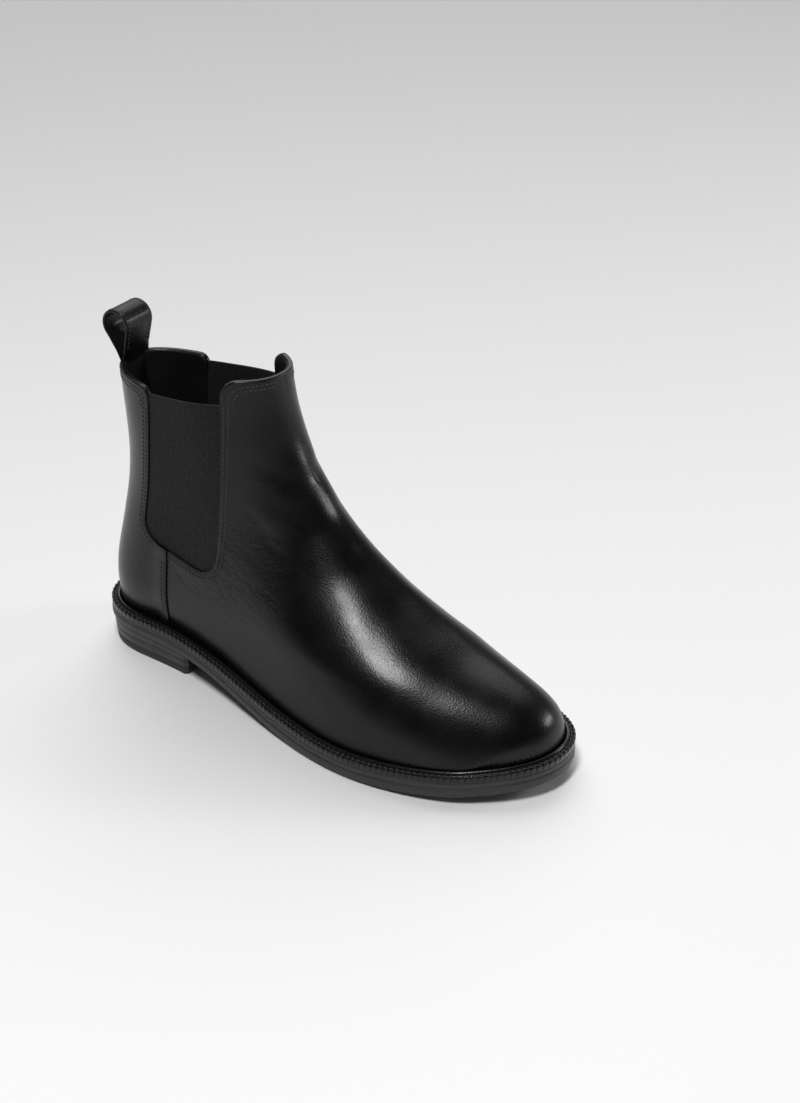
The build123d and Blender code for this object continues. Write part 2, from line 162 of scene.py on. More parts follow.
def side_line(points, spread):
    """A side-view line, smoothed along its length: columns s, z and distance along."""
    keys = np.array(points, float)
    along = distances(keys)
    at, s = smoothed(list(zip(along, keys[:, 0])), spread)
    _, z = smoothed(list(zip(along, keys[:, 1])), spread)
    keep = slice(None, None, 3)
    return np.column_stack([s[keep], z[keep], at[keep]])


sole_bottom = curve(SOLE_BOTTOM, 7)
outsole_thick = curve(OUTSOLE, 9)
midsole_thick = curve(MIDSOLE, 9)
ridge_line = side_line(RIDGE, 5.0)
back_line = side_line(BACK, 6.0)
ridge_radius = curve(RIDGE_RADIUS, 10)
back_radius = curve(BACK_RADIUS, 10)
low_width = {side: curve(LOW[side], 9) for side in LOW}
mid_width = {side: curve(MID[side], 9) for side in MID}
shaft_width = {side: curve(SHAFT[side], 12) for side in SHAFT}
elastic_rear = curve(ELASTIC_REAR, 4)
elastic_front = curve(ELASTIC_FRONT, 4)
elastic_foot = curve(ELASTIC_FOOT, 4)


def feather(s):
    """Height of the welt's top."""
    return sole_bottom(s) + outsole_thick(s) + midsole_thick(s) + WELT


def nearest(line, s, z):
    """Distance from side-view points to a line, and how far along it that is."""
    start, end = line[:-1], line[1:]
    run = end[:, :2] - start[:, :2]
    size = (run ** 2).sum(axis=1)
    gap = np.full(s.shape, 1e9)
    at = np.zeros(s.shape)
    for i in range(len(run)):
        t = ((s - start[i, 0]) * run[i, 0] + (z - start[i, 1]) * run[i, 1]) / size[i]
        t = np.clip(t, 0, 1)
        far = np.hypot(s - start[i, 0] - t * run[i, 0], z - start[i, 1] - t * run[i, 1])
        closer = far < gap
        gap = np.where(closer, far, gap)
        at = np.where(closer, start[i, 2] + t * (end[i, 2] - start[i, 2]), at)
    return gap, at


def ease_in_out(t):
    return (3 - 2 * t) * t * t


def roundness(gap, radius, power=2.2):
    """Share of the full width at a distance in from the upper's silhouette."""
    t = np.clip(gap / radius, 0, 1)
    return (1 - (1 - t) ** power) ** (1 / power)


def half_width(s, z, side):
    """Half width of the upper at side-view points."""
    ridge_gap, ridge_at = nearest(ridge_line, s, z)
    back_gap, _ = nearest(back_line, s, z)
    start = feather(s) + BEAD_HEIGHT + BEAD_CLEAR
    low, mid, high = low_width[side](s), mid_width[side](s), shaft_width[side](s)
    t = np.clip((z - start) / (MID_HEIGHT - start), 0, 1)
    lower = low + (mid - low) * np.sin(t * math.pi / 2)
    t = np.clip((z - MID_HEIGHT) / (SHAFT_HEIGHT - MID_HEIGHT), 0, 1)
    base = lower + (high - mid) * ease_in_out(t)
    fullness = roundness(ridge_gap, ridge_radius(ridge_at))
    return base * fullness * roundness(back_gap, back_radius(z))


# ---- the upper's surface, as a fine grid of side-view places ----
COLUMNS = 132                # grid spans on each side, from the back seam to the front
LEVEL = 100.0                # above this height the grid's rows are level
LOWEST = 12.6                # lowest point of the welt's top


def row_of(s, z):
    """Grid height of a side-view place: rows follow the welt low down and are level above."""
    base = feather(s)
    tilted = LOWEST + (z - base) * (LEVEL - LOWEST) / (LEVEL - base)
    return np.where(z < LEVEL, tilted, z)


def height_of(row, s):
    """Height of a grid row at a distance from the heel's back."""
    base = feather(s)
    tilted = base + (row - LOWEST) * (LEVEL - base) / (LEVEL - LOWEST)
    return np.where(row < LEVEL, tilted, row)


def row_heights():
    """Grid heights of the rows, closer together where the toe's crown is nearly level."""
    bands = [(LOWEST, 24, 1.1), (24, 58, 0.75), (58, 84, 1.2), (84, 200, 1.6)]
    return np.concatenate([np.arange(*band) for band in bands])


# side-view place of each fold's rear end, its reach, its angle in degrees, its depth and its width
FOLDS = [(96, 92, 26, -20, 0.3, 2.6), (100, 84, 30, -9, 0.3, 2.4), (99, 76, 27, 2, 0.25, 2.4),
         (118, 118, 22, -33, 0.3, 3.0), (124, 108, 24, -30, 0.3, 2.8), (60, 70, 22, -8, 0.2, 2.4),
         (70, 64, 26, -4, 0.2, 2.6), (124, 143, 30, -28, 0.5, 4.5), (138, 122, 32, -30, 0.5, 5.0),
         (196, 74, 30, -32, 0.3, 5.0)]
WANDER = 0.9                 # how far a fold wanders from a straight line
RIPPLE_PLACE, RIPPLE_REACH, RIPPLE = (98.0, 92.0), (46.0, 38.0), 0.09
UNEVEN_START, UNEVEN_RISE, UNEVEN = 40.0, 40.0, 0.16


def creases(s, z, side):
    """Small outward shifts of the leather: ankle creases and a slow unevenness."""
    shift = np.zeros_like(s)
    for fold_s, fold_z, reach, angle, depth, width in FOLDS:
        turn = math.radians(angle)
        along = (s - fold_s) * math.cos(turn) + (z - fold_z) * math.sin(turn)
        across = (z - fold_z) * math.cos(turn) - (s - fold_s) * math.sin(turn)
        across = across + WANDER * np.sin(along * 0.21 + side)
        fade = np.exp(-((along - reach * 0.4) / (reach * 0.55)) ** 2)
        shift -= depth * np.exp(-(across / width) ** 2) * fade
        shift += depth * 0.6 * np.exp(-((across - 2.1 * width) / (1.4 * width)) ** 2) * fade
    near_s, near_z = (s - RIPPLE_PLACE[0]) / RIPPLE_REACH[0], (z - RIPPLE_PLACE[1]) / RIPPLE_REACH[1]
    ripple = np.sin(s * 0.55 + 1.3 * np.sin(z * 0.23)) * np.sin(z * 0.83 + 1.1 * np.sin(s * 0.31 + side))
    shift += RIPPLE * ripple * np.exp(-(near_s ** 2 + near_z ** 2))
    slow = np.sin(s * 0.071 + side) * np.sin(z * 0.093 + 0.6)
    slow += 0.6 * np.sin(s * 0.13 - z * 0.11 + 2 * side)
    return shift + UNEVEN * slow * np.clip((z - UNEVEN_START) / UNEVEN_RISE, 0, 1)


def upper_points(s, z, side):
    """Points of the upper's face at side-view places, in millimetres."""
    y = np.where(side < 0, -half_width(s, z, -1), half_width(s, z, 1))
    return np.stack([BACK_X + s, HEEL_Y + y, z], axis=-1)


ROWS = row_heights()
ridge_rows = row_of(ridge_line[:, 0], ridge_line[:, 1])
back_rows = row_of(back_line[:, 0], back_line[:, 1])
row_front = np.interp(ROWS, ridge_rows, ridge_line[:, 0])
row_rear = np.interp(ROWS, back_rows, back_line[:, 0])
turns = np.linspace(0, math.pi, COLUMNS + 1)
ring_turn = np.concatenate([turns, 2 * math.pi - turns[-2:0:-1]])
ring_side = np.where(np.arange(2 * COLUMNS) <= COLUMNS, -1.0, 1.0)
middle, reach = (row_front + row_rear) / 2, (row_front - row_rear) / 2
GRID_S = middle[:, None] - reach[:, None] * np.cos(ring_turn)[None, :]
GRID_Z = height_of(ROWS[:, None] + 0 * GRID_S, GRID_S)
GRID_SIDE = np.broadcast_to(ring_side[None, :], GRID_S.shape).copy()


def grid_surface():
    """Smooth outer face of the upper over the grid, with its outward directions."""
    points = upper_points(GRID_S, GRID_Z, GRID_SIDE)
    points[:, [0, COLUMNS], 1] = HEEL_Y
    for _ in range(2):
        points[1:-1] = eased(points, 1)[1:-1]
    across = np.roll(points, -1, axis=1) - np.roll(points, 1, axis=1)
    upward = np.gradient(points, axis=0)
    return points, unit(np.cross(across, upward))


GRID_POINTS, GRID_NORMALS = grid_surface()
GRID_POINTS = GRID_POINTS + GRID_NORMALS * creases(GRID_S, GRID_Z, GRID_SIDE)[..., None]


def grid_index(s, z, side):
    """Fractional row and column of the grid at a side-view place."""
    row = float(row_of(s, z))
    j = float(np.interp(row, ROWS, np.arange(len(ROWS))))
    front = float(np.interp(row, ROWS, row_front))
    rear = float(np.interp(row, ROWS, row_rear))
    share = min(1.0, max(-1.0, ((front + rear) / 2 - s) / ((front - rear) / 2)))
    i = math.acos(share) / math.pi * COLUMNS
    return j, i if side < 0 else 2 * COLUMNS - i


def on_surface(s, z, side, depth=0.0):
    """Point on the upper at a side-view place, sunk by a depth, and its outward direction."""
    j, i = grid_index(s, z, side)
    j0 = min(int(j), len(ROWS) - 2)
    i0 = int(i) % (2 * COLUMNS)
    i1 = (i0 + 1) % (2 * COLUMNS)
    fj, fi = j - j0, i - int(i)

    def mix(grid):
        low = grid[j0, i0] * (1 - fi) + grid[j0, i1] * fi
        high = grid[j0 + 1, i0] * (1 - fi) + grid[j0 + 1, i1] * fi
        return low * (1 - fj) + high * fj

    normal = unit(mix(GRID_NORMALS))
    return mix(GRID_POINTS) - normal * depth, normal


# ---- the panels' side-view outlines, as distances inside them ----
def corner_min(a, b, radius):
    """The lesser of two distances, with the corner between them rounded."""
    inner = radius - np.hypot(np.maximum(radius - a, 0), np.maximum(radius - b, 0))
    return np.where((a < radius) & (b < radius), inner, np.minimum(a, b))


SHARP = 0.01
SEAM_SET_BACK, SEAM_SLOPE, SEAM_FOOT = 2.5, 0.045, 24.0
FOOT_CLEAR = 3.0             # height over the elastic's foot where the panels' split begins


def opening(s, z):
    """Distance inside the elastic's opening."""
    sides = corner_min(s - elastic_rear(z), elastic_front(z) - s, SHARP)
    return corner_min(sides, z - elastic_foot(s), OPENING_CORNER)


def seam_line(z):
    """The quarter's front edge below the elastic."""
    return SEAM_S - SEAM_SET_BACK + SEAM_SLOPE * (z - SEAM_FOOT)


def vamp_region(s, z):
    upper_edge = corner_min(-opening(s, z), FRONT_TOP - z, FRONT_CORNER)
    rear_edge = np.where(z > elastic_foot(s) + FOOT_CLEAR, s - PANEL_SPLIT, s - seam_line(z) + UNDERLAP)
    return np.minimum(upper_edge, rear_edge)


def quarter_region(s, z):
    upper_edge = corner_min(-opening(s, z), REAR_TOP - z, REAR_CORNER)
    front_edge = np.where(z > elastic_foot(s) + FOOT_CLEAR, PANEL_SPLIT - s, seam_line(z) - s)
    return np.minimum(upper_edge, front_edge)


def elastic_top(s):
    share = (s - ELASTIC_REAR[-1][1]) / (ELASTIC_FRONT[-1][1] - ELASTIC_REAR[-1][1])
    return ELASTIC_REAR_TOP + (ELASTIC_FRONT_TOP - ELASTIC_REAR_TOP) * share


def elastic_region(s, z):
    return np.minimum(opening(s, z) + ELASTIC_MARGIN, elastic_top(s) - z)


def lining_region(s, z):
    front = corner_min(-opening(s, z), FRONT_TOP - z, FRONT_CORNER)
    rear = corner_min(-opening(s, z), REAR_TOP - z, REAR_CORNER)
    return np.where(s > PANEL_SPLIT, front, rear) - LINING_INSET


# ---- mesh helpers ----
def new_object(name, vertices, faces, material, smooth=True):
    mesh = bpy.data.meshes.new(name)
    mesh.from_pydata([tuple(v) for v in vertices], [], [tuple(f) for f in faces])
    mesh.validate()
    mesh.update()
    mesh.materials.append(material)
    piece = bpy.data.objects.new(name, mesh)
    bpy.context.collection.objects.link(piece)
    for polygon in mesh.polygons:
        polygon.use_smooth = smooth
    return piece


def apply_modifiers(piece):
    """Replace a piece's mesh with what its modifiers make of it."""
    depsgraph = bpy.context.evaluated_depsgraph_get()
    made = bpy.data.meshes.new_from_object(piece.evaluated_get(depsgraph))
    piece.modifiers.clear()
    old = piece.data
    piece.data = made
    bpy.data.meshes.remove(old)
    return piece


def cell_middles(grid):
    return 0.25 * (grid[:-1] + grid[1:] + np.roll(grid, -1, 1)[:-1] + np.roll(grid, -1, 1)[1:])


TRIM_REACH = 4.0             # grid points farther than this from an outline are never moved onto it
TRIM_ROUNDS = 4
FLATTEST = 0.2               # least squared slope of a region's distance that a step relies on


def panel(name, region, depth, thickness, material, bevel=0.4, lift=None, seam_gap=0.0, sides=(-1, 1)):
    """Sheet of the upper inside a side-view region, trimmed smoothly to its outline."""
    wanted = np.isin(GRID_SIDE, sides)
    if len(sides) == 1:
        wanted[:, [0, COLUMNS]] = True
    keep = region(cell_middles(GRID_S), cell_middles(GRID_Z)) > 0
    keep &= wanted[:-1] & np.roll(wanted, -1, 1)[:-1] & wanted[1:] & np.roll(wanted, -1, 1)[1:]
    used, outside = np.zeros((2, *GRID_S.shape), bool)
    for mask, cells in ((used, keep), (outside, ~keep)):
        either = cells | np.roll(cells, 1, 1)
        mask[:-1] |= either
        mask[1:] |= either
    edge = used & outside & (np.abs(region(GRID_S, GRID_Z)) < TRIM_REACH)
    if len(sides) == 1:
        edge[:, [0, COLUMNS]] = False
    s, z = GRID_S.copy(), GRID_Z.copy()
    step = 0.05
    for _ in range(TRIM_ROUNDS):
        d = region(s, z)
        ds = (region(s + step, z) - region(s - step, z)) / (2 * step)
        dz = (region(s, z + step) - region(s, z - step)) / (2 * step)
        size = np.maximum(ds ** 2 + dz ** 2, FLATTEST)
        s = np.where(edge, s - d * ds / size, s)
        z = np.where(edge, z - d * dz / size, z)
    points, normals = GRID_POINTS.copy(), GRID_NORMALS.copy()
    for j, i in zip(*np.nonzero(edge)):
        points[j, i], normals[j, i] = on_surface(s[j, i], z[j, i], GRID_SIDE[j, i])
    points -= normals * depth
    if lift:
        points += normals * lift(s, z)[..., None]
    if seam_gap:
        points[:, 0, 1] += sides[0] * seam_gap
    number = -np.ones(GRID_S.shape, int)
    number[used] = np.arange(used.sum())
    faces = []
    for j, i in zip(*np.nonzero(keep)):
        k = (i + 1) % (2 * COLUMNS)
        faces.append((number[j, i], number[j, k], number[j + 1, k], number[j + 1, i]))
    piece = new_object(name, points[used] * MM, faces, material)
    solid = piece.modifiers.new("thickness", "SOLIDIFY")
    solid.thickness = thickness * MM
    solid.offset = -1
    if bevel:
        edges = piece.modifiers.new("edges", "BEVEL")
        edges.width = bevel * MM
        edges.segments = 3
        edges.limit_method = "ANGLE"
        edges.angle_limit = math.radians(50)
    apply_modifiers(piece)
    for polygon in piece.data.polygons:
        polygon.use_smooth = True
    return piece


def tube(path, normals, profile):
    """Vertices and faces of closed profiles (across, out) swept along an open path."""
    tangent = np.gradient(path, axis=0)
    across = unit(np.cross(unit(tangent), normals))
    rings = path[:, None, :] + across[:, None, :] * profile[..., :1] + normals[:, None, :] * profile[..., 1:]
    count, size = len(path), profile.shape[1]
    faces = []
    for i in range(count - 1):
        for k in range(size):
            m = (k + 1) % size
            faces.append((i * size + k, i * size + m, (i + 1) * size + m, (i + 1) * size + k))
    faces.append(tuple(range(size))[::-1])
    faces.append(tuple((count - 1) * size + k for k in range(size)))
    return rings.reshape(-1, 3), faces


def resample(path, pitch):
    """Points at an even pitch along a path."""
    along = distances(path)
    count = max(2, int(round(along[-1] / pitch)))
    return read_path(path, along, np.linspace(0, along[-1], count + 1))


SHORTEST_STITCH = 0.2        # half length below which a stitch is left out
STITCH_SINK, STITCH_ARCH = 0.35, 0.75    # in thread radii
STITCH_SIDES = 6


def stitching(name, paths, pitch=2.7, radius=0.36, share=0.72):
    """Piece of stitches along paths of (point, outward direction) rows."""
    vertices, faces = [], []
    # places along a stitch's half length, with the thread's fatness there
    stations = [(-1.0, 0.25), (-0.8, 0.8), (-0.35, 1.0), (0.35, 1.0), (0.8, 0.8), (1.0, 0.25)]
    for path in paths:
        nodes = resample(path, pitch)
        for a, b in zip(nodes, nodes[1:]):
            centre = (a[:3] + b[:3]) / 2
            run = (b[:3] - a[:3]) / 2 * share
            out = unit((a[3:] + b[3:]) / 2)
            size = np.linalg.norm(run)
            if size < SHORTEST_STITCH:
                continue
            across = np.cross(run / size, out)
            base = len(vertices)
            for t, fat in stations:
                spine = centre + run * t + out * radius * (STITCH_ARCH * (1 - t * t) - STITCH_SINK)
                for k in range(STITCH_SIDES):
                    turn = k * 2 * math.pi / STITCH_SIDES
                    vertices.append(spine + radius * fat * (across * math.cos(turn) + out * math.sin(turn)))
            last = base + (len(stations) - 1) * STITCH_SIDES
            for low in range(base, last, STITCH_SIDES):
                high = low + STITCH_SIDES
                for k in range(STITCH_SIDES):
                    n = (k + 1) % STITCH_SIDES
                    faces.append((low + k, low + n, high + n, high + k))
            faces.append(tuple(base + k for k in range(STITCH_SIDES))[::-1])
            faces.append(tuple(last + k for k in range(STITCH_SIDES)))
    return new_object(name, np.array(vertices) * MM, faces, THREAD)


def surface_path(places, side, depth=0.0):
    """Rows of point and outward direction over side-view places."""
    return np.array([np.concatenate(on_surface(s, z, side, depth)) for s, z in places])


OPENING_CENTRE = (72.0, 130.0)
SEARCH_REACH, SEARCH_ROUNDS = 120.0, 26


def around_opening(outside, top_rear, top_front):
    """Side-view places a little outside the elastic's opening, from rear top to front top."""
    centre_s, centre_z = OPENING_CENTRE
    angles = np.linspace(math.radians(100), math.radians(440), 400)
    near, far = np.zeros(len(angles)), np.full(len(angles), SEARCH_REACH)
    for _ in range(SEARCH_ROUNDS):
        half = (near + far) / 2
        inside = opening(centre_s + half * np.cos(angles), centre_z + half * np.sin(angles)) > -outside
        near, far = np.where(inside, half, near), np.where(inside, far, half)
    s, z = centre_s + near * np.cos(angles), centre_z + near * np.sin(angles)
    return np.column_stack([s, z])[z < np.where(s < centre_s, top_rear, top_front)]


# ---- materials ----
def material(name, color, roughness, metallic=0.0):
    made = bpy.data.materials.new(name)
    made.use_nodes = True
    shader = made.node_tree.nodes["Principled BSDF"]
    shader.inputs["Base Color"].default_value = (*color, 1)
    shader.inputs["Roughness"].default_value = roughness
    shader.inputs["Metallic"].default_value = metallic
    return made, made.node_tree, shader


def add_node(tree, kind, **values):
    node = tree.nodes.new("ShaderNode" + kind)
    for key, value in values.items():
        if key in node.inputs:
            node.inputs[key].default_value = value
        else:
            setattr(node, key, value)
    return node


def object_space(tree, stretch=(1, 1, 1)):
    """Places in the piece's own space, in metres."""
    place = add_node(tree, "TexCoord")
    mapping = add_node(tree, "Mapping", Scale=stretch)
    tree.links.new(place.outputs["Object"], mapping.inputs["Vector"])
    return mapping.outputs["Vector"]


def noise(tree, scale, detail, roughness, stretch=(1, 1, 1)):
    """Noise over the piece's own space, in features per metre."""
    texture = add_node(tree, "TexNoise", Scale=scale, Detail=detail, Roughness=roughness)
    tree.links.new(object_space(tree, stretch), texture.inputs["Vector"])
    return texture.outputs["Fac"]


def spread(tree, value, low, high, start=0.3, end=0.7):
    """Map a value between two limits onto a new range."""
    node = add_node(tree, "MapRange")
    for key, number in (("From Min", start), ("From Max", end), ("To Min", low), ("To Max", high)):
        node.inputs[key].default_value = number
    tree.links.new(value, node.inputs["Value"])
    return node.outputs["Result"]


def bump(tree, height, distance, strength, onto=None):
    node = add_node(tree, "Bump", Strength=strength, Distance=distance)
    tree.links.new(height, node.inputs["Height"])
    if onto:
        tree.links.new(onto, node.inputs["Normal"])
    return node.outputs["Normal"]


MIX_SHARE, MIX_A, MIX_B, MIX_RESULT = 0, 6, 7, 2     # a mix node's sockets for colours


def tint(tree, shader, value, dark, light):
    """Vary the base colour between two tones."""
    ramp = add_node(tree, "Mix", data_type="RGBA")
    ramp.inputs[MIX_A].default_value = (*dark, 1)
    ramp.inputs[MIX_B].default_value = (*light, 1)
    tree.links.new(value, ramp.inputs[MIX_SHARE])
    tree.links.new(ramp.outputs[MIX_RESULT], shader.inputs["Base Color"])


# middle and half size of the wrinkled patch at the ankle, in metres
ANKLE_PLACE = (-0.052, 0.0, 0.082)
ANKLE_REACH = (0.052, 0.2, 0.034)
SOFT_SPECULAR = 0.25


def ankle_wrinkles(tree, place, onto):
    """Fine wrinkles where the leather bends at the ankle."""
    offset = add_node(tree, "VectorMath", operation="SUBTRACT")
    tree.links.new(place, offset.inputs[0])
    offset.inputs[1].default_value = ANKLE_PLACE
    shrink = add_node(tree, "VectorMath", operation="DIVIDE")
    tree.links.new(offset.outputs[0], shrink.inputs[0])
    shrink.inputs[1].default_value = ANKLE_REACH
    length = add_node(tree, "VectorMath", operation="LENGTH")
    tree.links.new(shrink.outputs[0], length.inputs[0])
    near = spread(tree, length.outputs["Value"], 1, 0, 0.25, 1.15)
    wrinkle = noise(tree, 460, 4, 0.65, (0.6, 1, 1.4))
    folded = add_node(tree, "Math", operation="MULTIPLY")
    tree.links.new(wrinkle, folded.inputs[0])
    tree.links.new(near, folded.inputs[1])
    return bump(tree, folded.outputs[0], distance=0.0014, strength=0.8, onto=onto)


def leather(name, color, rough_low, rough_high, grain, coat=0.0, grain_scale=1150.0, ankle=False):
    """Finished leather: cellular grain, soft wrinkles and an uneven polish."""
    made, tree, shader = material(name, color, (rough_low + rough_high) / 2)
    cloud = noise(tree, 38, 4, 0.55)
    tree.links.new(spread(tree, cloud, rough_low, rough_high), shader.inputs["Roughness"])
    tint(tree, shader, spread(tree, cloud, 0, 1), [c * 0.75 for c in color], [c * 1.35 for c in color])
    place = object_space(tree)
    cells = add_node(tree, "TexVoronoi", Scale=grain_scale, feature="SMOOTH_F1")
    tree.links.new(place, cells.inputs["Vector"])
    pores = bump(tree, cells.outputs["Distance"], distance=0.0002, strength=grain)
    wrinkle = noise(tree, 420, 5, 0.6)
    wrinkled = bump(tree, wrinkle, distance=0.00022, strength=grain * 0.8, onto=pores)
    broad = noise(tree, 70, 3, 0.5)
    uneven = bump(tree, broad, distance=0.0006, strength=grain * 0.5, onto=wrinkled)
    if ankle:
        uneven = ankle_wrinkles(tree, place, uneven)
    tree.links.new(uneven, shader.inputs["Normal"])
    shader.inputs["Specular IOR Level"].default_value = SOFT_SPECULAR
    shader.inputs["Coat Weight"].default_value = coat
    shader.inputs["Coat Roughness"].default_value = 0.16
    return made


def elastic_fabric(name, dark, light):
    """Ribbed knitted elastic, with its ribs upright and a speckle of loops."""
    made, tree, shader = material(name, light, 0.8)
    place = object_space(tree)
    ribs = add_node(tree, "TexWave", Scale=330.0, Distortion=0.8, Detail=2.0, bands_direction="X")
    ribs.inputs["Detail Scale"].default_value = 4.0
    tree.links.new(place, ribs.inputs["Vector"])
    loops = noise(tree, 1100, 4, 0.75, (1, 1, 0.7))
    ribbed = bump(tree, ribs.outputs["Fac"], 0.0003, 0.3)
    tree.links.new(bump(tree, loops, 0.0006, 0.9, ribbed), shader.inputs["Normal"])
    tint(tree, shader, spread(tree, loops, 0, 1, 0.4, 0.66), dark, light)
    shader.inputs["Specular IOR Level"].default_value = SOFT_SPECULAR
    shader.inputs["Sheen Weight"].default_value = 0.05
    shader.inputs["Sheen Roughness"].default_value = 0.5
    return made


def thread(name, color):
    made, tree, shader = material(name, color, 0.6)
    twist = noise(tree, 2400, 2, 0.5)
    tree.links.new(bump(tree, twist, 0.00012, 0.7), shader.inputs["Normal"])
    tint(tree, shader, twist, [c * 0.7 for c in color], [c * 1.4 for c in color])
    return made


def edge_dressed(name, color, roughness, lines):
    """Dressed sole edge: fine lines along it, and a little scuffing."""
    made, tree, shader = material(name, color, roughness)
    streak = noise(tree, 60, 4, 0.6, (1, 1, lines))
    speck = noise(tree, 900, 3, 0.6)
    tree.links.new(spread(tree, speck, roughness - 0.1, roughness + 0.12), shader.inputs["Roughness"])
    lined = bump(tree, streak, 0.00025, 0.5)
    tree.links.new(bump(tree, speck, 0.00012, 0.35, lined), shader.inputs["Normal"])
    tint(tree, shader, spread(tree, streak, 0, 1), [c * 0.7 for c in color], [c * 1.5 for c in color])
    return made


def mottled(name, dark, light, roughness, scale, metallic=0.0, stretch=(1, 1, 1), depth=0.0003):
    """Plain inner stuff, such as cork, board, canvas or steel."""
    made, tree, shader = material(name, light, roughness, metallic)
    cloud = noise(tree, scale, 4, 0.6, stretch)
    tint(tree, shader, spread(tree, cloud, 0, 1), dark, light)
    tree.links.new(spread(tree, cloud, roughness - 0.08, roughness + 0.08), shader.inputs["Roughness"])
    tree.links.new(bump(tree, cloud, depth, 0.5), shader.inputs["Normal"])
    return made


CALF = leather("calf_leather", (0.0032, 0.0031, 0.0030), 0.23, 0.35, 0.34, coat=0.1, grain_scale=1250.0,
               ankle=True)
STRAP = leather("strap_leather", (0.004, 0.0039, 0.0038), 0.34, 0.46, 0.9, coat=0.1, grain_scale=900.0)
WELT_LEATHER = leather("welt_leather", (0.004, 0.004, 0.004), 0.2, 0.32, 0.2, coat=0.3)
LINING = leather("lining_leather", (0.0045, 0.0044, 0.0043), 0.55, 0.7, 0.5)
SOCK = leather("sock_leather", (0.014, 0.0135, 0.013), 0.55, 0.7, 0.5)
ELASTIC = elastic_fabric("elastic_knit", (0.0008, 0.0008, 0.0009), (0.014, 0.014, 0.015))
THREAD = thread("black_thread", (0.03, 0.03, 0.03))
SOLE_EDGE = edge_dressed("sole_edge", (0.024, 0.0235, 0.023), 0.46, 14)
HEEL_EDGE = edge_dressed("heel_edge", (0.024, 0.0235, 0.023), 0.44, 10)
TREAD = edge_dressed("tread", (0.018, 0.018, 0.018), 0.6, 3)
CORK = mottled("cork", (0.12, 0.06, 0.03), (0.42, 0.27, 0.15), 0.9, 500, depth=0.0006)
BOARD = mottled("insole_board", (0.3, 0.2, 0.12), (0.46, 0.34, 0.22), 0.85, 300)
STIFFENER = mottled("stiffener", (0.42, 0.38, 0.3), (0.6, 0.55, 0.45), 0.8, 260)
CANVAS = mottled("canvas", (0.45, 0.42, 0.36), (0.65, 0.6, 0.52), 0.9, 900)
STEEL = mottled("shank_steel", (0.4, 0.4, 0.42), (0.62, 0.62, 0.64), 0.35, 120, 1.0, (0.05, 1, 1), 0.0001)
BRASS = mottled("nail_brass", (0.5, 0.36, 0.12), (0.75, 0.58, 0.26), 0.35, 400, 1.0, depth=0.0001)


# ---- the upper ----
QUARTER_LIFT = 0.85          # how far the quarter's front edge stands over the vamp
LIFT_START, LIFT_RUN = 13.0, 11.0
LIFT_FADE = 6.0
SEAM_GAP = 0.12


def quarter_lift(s, z):
    """The quarter rises over the vamp's edge beneath it."""
    t = np.clip((s - (seam_line(z) - LIFT_START)) / LIFT_RUN, 0, 1)
    low_down = np.clip((elastic_foot(s) + LIFT_FADE - z) / LIFT_FADE, 0, 1)
    return QUARTER_LIFT * ease_in_out(t) * low_down


def front_lining(s, z):
    return np.minimum(lining_region(s, z), s - LINING_SPLIT)


def rear_lining(s, z):
    return np.minimum(lining_region(s, z), LINING_SPLIT - s)


def puff_region(s, z):
    return s - PUFF_START


def counter_region(s, z):
    return corner_min(COUNTER_END - s, COUNTER_TOP - z, COUNTER_CORNER)


vamp = panel("vamp_leather", vamp_region, *LEATHER_LAYER, CALF)
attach(vamp, "boot")
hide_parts("vamp", "front_topline_binding")

for side_name, side in (("lateral", -1), ("medial", 1)):
    quarter = panel(f"quarter_{side_name}_leather", quarter_region, *LEATHER_LAYER, CALF,
                    lift=quarter_lift, seam_gap=SEAM_GAP, sides=(side,))
    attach(quarter, "boot")
    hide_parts(f"quarter_{side_name}")
    gusset = panel(f"elastic_{side_name}", elastic_region, *ELASTIC_LAYER, ELASTIC, bevel=0.3,
                   sides=(side,))
    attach(gusset, "boot")
    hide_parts(f"elastic_gusset_{side_name}")

for name, region, (depth, thick), made, node, slot_name in (
        ("vamp_lining_sheet", front_lining, LINING_LAYER, LINING, "vamp_lining", "lining_textile"),
        ("quarter_lining_sheet", rear_lining, LINING_LAYER, LINING, "quarter_lining", "lining_leather"),
        ("toe_puff_sheet", puff_region, STIFF_LAYER, STIFFENER, "toe_puff", "stiffener"),
        ("heel_counter_sheet", counter_region, STIFF_LAYER, STIFFENER, "heel_counter", "stiffener")):
    sheet = panel(name, region, depth, thick, made, bevel=0)
    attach(sheet, "boot")
    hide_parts(node)


# ---- rolled toplines ----
def rim_places(edge_s, end_s, top, radius, drop):
    """Side-view places along a topline: up the elastic's edge, round the corner, and along."""
    way = 1 if end_s > edge_s else -1
    places = [(edge_s, top - drop - radius - rise) for rise in (9.0, 6.0, 3.0)]
    for turn in np.linspace(0, math.pi / 2, 10):
        places.append((edge_s + way * radius * (1 - math.cos(turn)),
                       top - drop - radius * (1 - math.sin(turn))))
    begin = edge_s + way * radius
    for turn in np.linspace(0, math.pi / 2, 26)[1:]:
        places.append((begin + (end_s - begin) * math.sin(turn), top - drop))
    return places


